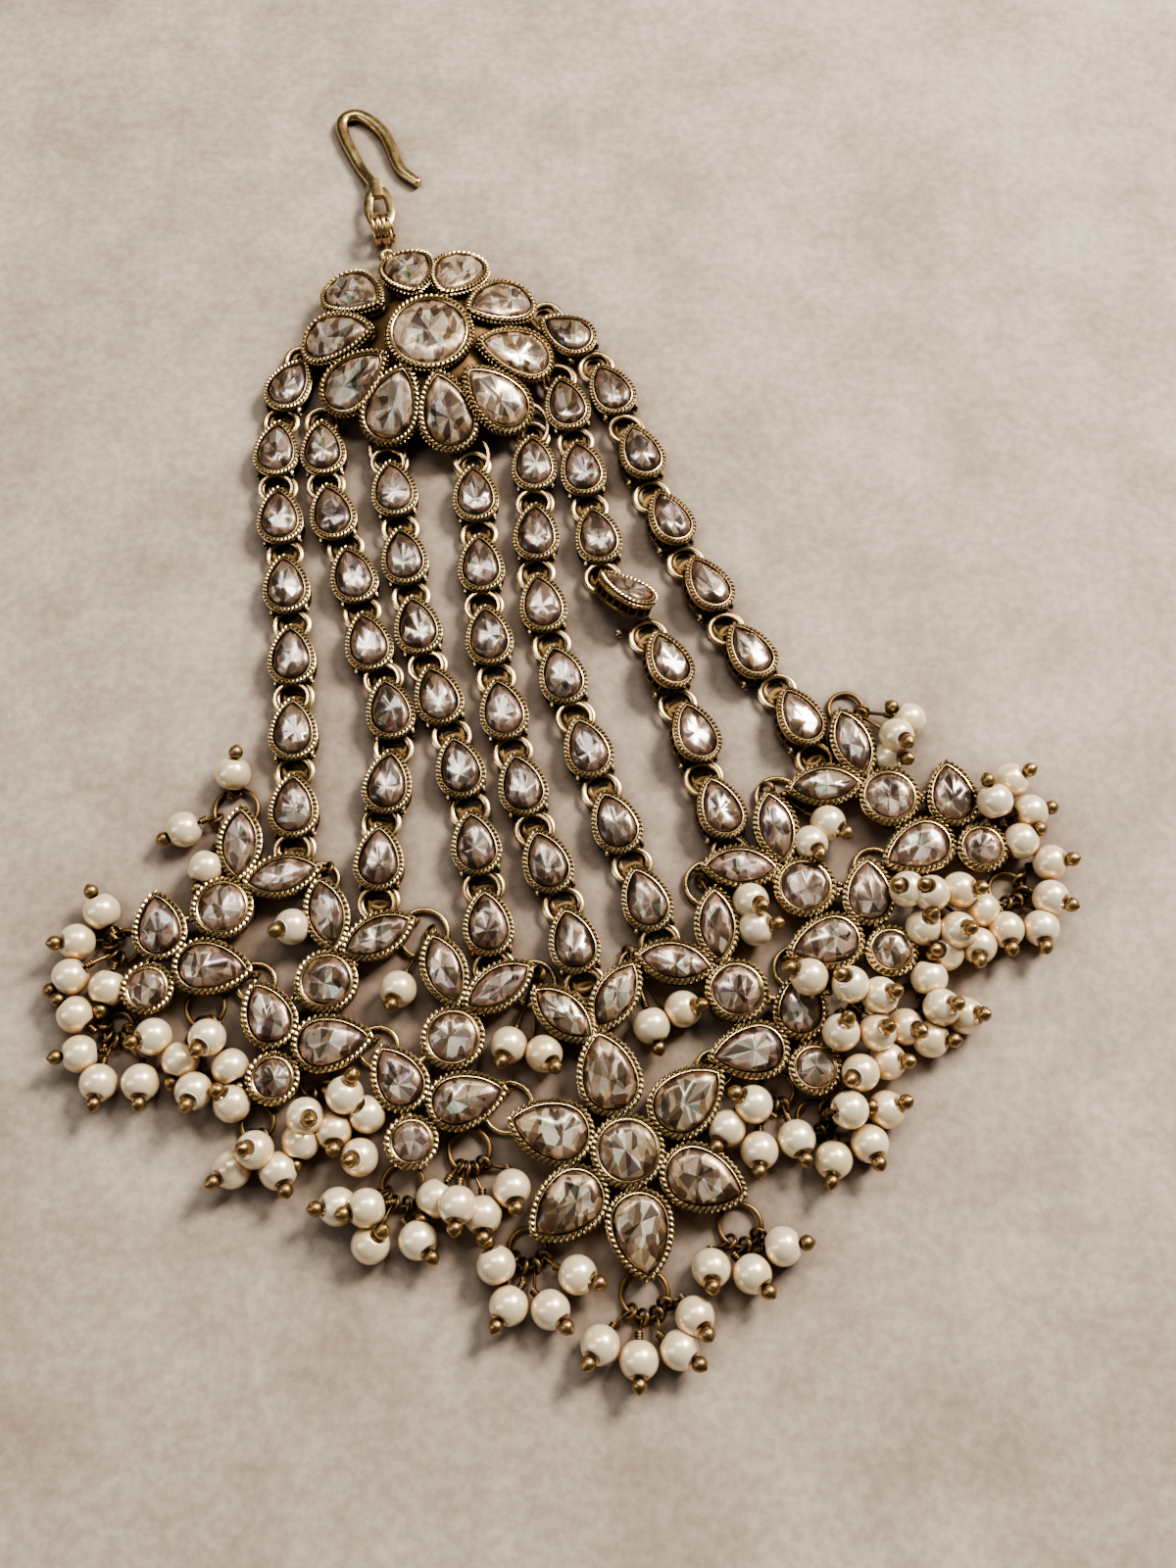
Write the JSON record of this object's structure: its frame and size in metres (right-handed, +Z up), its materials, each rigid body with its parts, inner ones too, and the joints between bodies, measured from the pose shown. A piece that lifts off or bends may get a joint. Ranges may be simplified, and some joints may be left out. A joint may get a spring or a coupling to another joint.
{
  "type": "jhoomar side head ornament",
  "caption": "Side head ornament: a hook and a domed stone flower carry strands of pear-cut stones, which spread to a row of floral motifs with pearl drops.",
  "frame": {"origin": "centre of the bounding box in plan, on the surface that the ornament lies on", "axes": "+Z up from the surface, +Y from the pearls towards the hook, +X to the right as it is seen from the front"},
  "size_m": [0.103, 0.1464, 0.0069],
  "materials": {
    "antique_gold": "antique gold plate, bright edges and near-black recesses",
    "champagne_stone": "foil-backed champagne cut glass, mirror-bright facets",
    "pearl": "cream imitation pearl, lustrous"
  },
  "bodies": {
    "root": {"hook": "antique_gold", "hook_link_a": "antique_gold", "hook_link_b": "antique_gold", "crown_setting": "antique_gold", "crown_centre_stone": "champagne_stone", "crown_petal_stone_01": "champagne_stone", "crown_petal_stone_02": "champagne_stone", "crown_petal_stone_03": "champagne_stone", "crown_petal_stone_04": "champagne_stone", "crown_petal_stone_05": "champagne_stone", "crown_petal_stone_06": "champagne_stone", "crown_petal_stone_07": "champagne_stone", "crown_petal_stone_08": "champagne_stone", "crown_petal_stone_09": "champagne_stone", "crown_petal_stone_10": "champagne_stone", "strand_1": "antique_gold", "strand_2": "antique_gold", "strand_3": "antique_gold", "strand_4": "antique_gold", "strand_5": "antique_gold", "strand_6": "antique_gold", "strand_7": "antique_gold", "centre_setting": "antique_gold", "centre_round_stone": "champagne_stone", "centre_petal_stone_1": "champagne_stone", "centre_petal_stone_2": "champagne_stone", "centre_petal_stone_3": "champagne_stone", "centre_petal_stone_4": "champagne_stone", "centre_petal_stone_5": "champagne_stone", "centre_petal_stone_6": "champagne_stone", "motif_left_1": "antique_gold", "motif_left_2": "antique_gold", "motif_left_3": "antique_gold", "motif_right_1": "antique_gold", "motif_right_2": "antique_gold", "motif_right_3": "antique_gold", "upper_ring_1": "antique_gold", "upper_ring_2": "antique_gold", "upper_ring_3": "antique_gold", "upper_ring_4": "antique_gold", "upper_ring_5": "antique_gold", "upper_ring_6": "antique_gold", "lower_ring_1": "antique_gold", "lower_ring_2": "antique_gold", "lower_ring_3": "antique_gold", "lower_ring_4": "antique_gold", "lower_ring_5": "antique_gold", "lower_ring_6": "antique_gold", "pearls_top_left": "pearl", "pearls_left_1": "pearl", "pearls_left_inner": "pearl", "pearls_left_2": "pearl", "pearls_left_3": "pearl", "pearls_centre_left": "pearl", "pearls_centre_bottom": "pearl", "pearls_centre_right": "pearl", "pearls_right_3": "pearl", "pearls_right_2": "pearl", "pearls_right_1": "pearl", "pearls_top_right": "pearl"}
  },
  "joints": []
}
